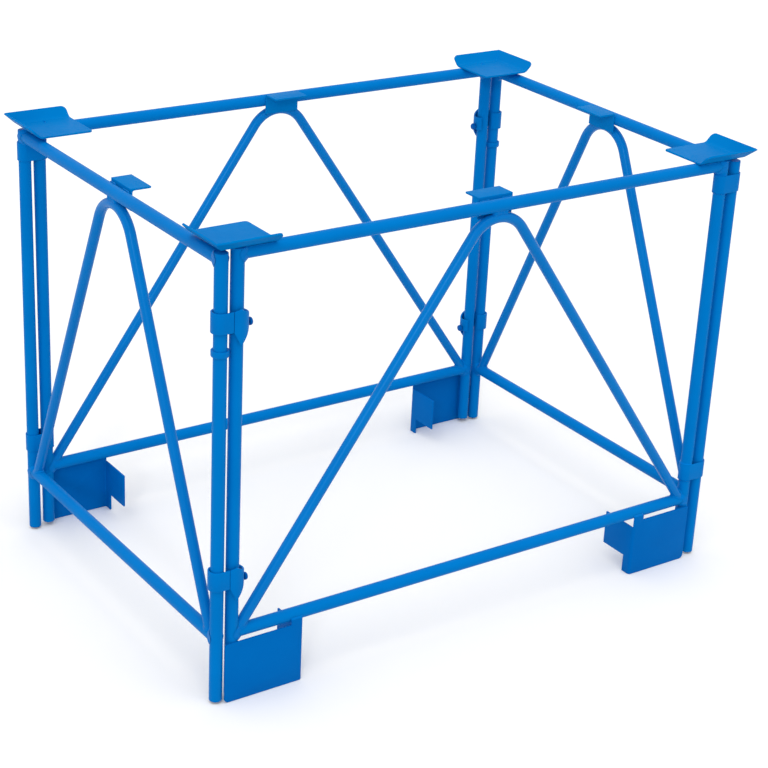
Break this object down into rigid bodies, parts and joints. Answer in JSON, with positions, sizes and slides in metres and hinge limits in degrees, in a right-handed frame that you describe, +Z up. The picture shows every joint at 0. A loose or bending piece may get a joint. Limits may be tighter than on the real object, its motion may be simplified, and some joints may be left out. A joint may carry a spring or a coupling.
{
  "type": "pallet stacking frame",
  "caption": "Open tubular steel frame round a pallet load: braced side panels, hinged and latched corners, corner plates with bent lips that carry the next tier.",
  "frame": {"origin": "centre of the load space on the floor, under the middle of the box that holds the frame", "axes": "+X along the long side, +Y to the back, +Z up; the latched corners are front left and back right"},
  "size_m": [1.3172, 0.9112, 0.9814],
  "materials": {
    "enamel_tube": "blue powder coat, semi-gloss",
    "enamel_plate": "blue powder coat, semi-gloss",
    "enamel_clip": "blue powder coat, semi-gloss",
    "enamel_pin": "blue powder coat, worn"
  },
  "bodies": {
    "front_panel": {"front_post_latch": "enamel_tube", "front_post_hinge": "enamel_tube", "front_rail_top": "enamel_tube", "front_rail_bottom": "enamel_tube", "front_brace": "enamel_tube", "front_bracket": "enamel_plate", "front_corner_plate_latch": "enamel_plate", "front_corner_plate_hinge": "enamel_plate", "front_shoe_latch": "enamel_plate", "front_shoe_hinge": "enamel_plate", "front_hinge_strap_upper": "enamel_clip", "front_hinge_strap_lower": "enamel_clip"},
    "back_panel": {"back_post_latch": "enamel_tube", "back_post_hinge": "enamel_tube", "back_rail_top": "enamel_tube", "back_rail_bottom": "enamel_tube", "back_brace": "enamel_tube", "back_bracket": "enamel_plate", "back_corner_plate_latch": "enamel_plate", "back_corner_plate_hinge": "enamel_plate", "back_shoe_latch": "enamel_plate", "back_shoe_hinge": "enamel_plate", "back_hinge_strap_upper": "enamel_clip", "back_hinge_strap_lower": "enamel_clip"},
    "left_panel": {"left_post_latch": "enamel_tube", "left_post_hinge": "enamel_tube", "left_rail_top": "enamel_tube", "left_rail_bottom": "enamel_tube", "left_brace": "enamel_tube", "left_bracket": "enamel_plate", "left_stop_ring": "enamel_clip"},
    "right_panel": {"right_post_latch": "enamel_tube", "right_post_hinge": "enamel_tube", "right_rail_top": "enamel_tube", "right_rail_bottom": "enamel_tube", "right_brace": "enamel_tube", "right_bracket": "enamel_plate", "right_stop_ring": "enamel_clip"},
    "front_clip_upper": {"front_clip_band_upper": "enamel_clip", "front_clip_shield_upper": "enamel_clip"},
    "front_pin_upper": {"front_lock_pin_upper": "enamel_pin"},
    "front_clip_lower": {"front_clip_band_lower": "enamel_clip", "front_clip_shield_lower": "enamel_clip"},
    "front_pin_lower": {"front_lock_pin_lower": "enamel_pin"},
    "back_clip_upper": {"back_clip_band_upper": "enamel_clip", "back_clip_shield_upper": "enamel_clip"},
    "back_pin_upper": {"back_lock_pin_upper": "enamel_pin"},
    "back_clip_lower": {"back_clip_band_lower": "enamel_clip", "back_clip_shield_lower": "enamel_clip"},
    "back_pin_lower": {"back_lock_pin_lower": "enamel_pin"}
  },
  "joints": [
    {"name": "left_fold", "type": "hinge", "parent": "front_panel", "child": "left_panel", "pos_m": [-0.629, -0.42, 0], "axis": [0, 0, 1], "range_deg": [-38, 38]},
    {"name": "right_fold", "type": "hinge", "parent": "front_panel", "child": "right_panel", "pos_m": [0.629, -0.42, 0], "axis": [0, 0, 1], "range_deg": [-38, 38]},
    {"name": "back_fold", "type": "hinge", "parent": "left_panel", "child": "back_panel", "pos_m": [-0.629, 0.42, 0], "axis": [0, 0, 1], "range_deg": [-38, 38]},
    {"name": "front_clip_upper_swing", "type": "hinge", "parent": "front_panel", "child": "front_clip_upper", "pos_m": [-0.629, -0.42, 0.817], "axis": [0, 0, -1], "range_deg": [0, 110]},
    {"name": "front_pin_upper_pull", "type": "slide", "parent": "front_clip_upper", "child": "front_pin_upper", "axis": [1, 0, 0], "range_m": [0, 0.01]},
    {"name": "front_clip_lower_swing", "type": "hinge", "parent": "front_panel", "child": "front_clip_lower", "pos_m": [-0.629, -0.42, 0.279], "axis": [0, 0, -1], "range_deg": [0, 110]},
    {"name": "front_pin_lower_pull", "type": "slide", "parent": "front_clip_lower", "child": "front_pin_lower", "axis": [1, 0, 0], "range_m": [0, 0.01]},
    {"name": "back_clip_upper_swing", "type": "hinge", "parent": "back_panel", "child": "back_clip_upper", "pos_m": [0.629, 0.42, 0.817], "axis": [0, 0, -1], "range_deg": [0, 110]},
    {"name": "back_pin_upper_pull", "type": "slide", "parent": "back_clip_upper", "child": "back_pin_upper", "axis": [-1, 0, 0], "range_m": [0, 0.01]},
    {"name": "back_clip_lower_swing", "type": "hinge", "parent": "back_panel", "child": "back_clip_lower", "pos_m": [0.629, 0.42, 0.279], "axis": [0, 0, -1], "range_deg": [0, 110]},
    {"name": "back_pin_lower_pull", "type": "slide", "parent": "back_clip_lower", "child": "back_pin_lower", "axis": [-1, 0, 0], "range_m": [0, 0.01]}
  ],
  "couplings": [
    {"joint": "right_fold", "follows": "left_fold", "ratio": 1},
    {"joint": "back_fold", "follows": "left_fold", "ratio": -1}
  ]
}
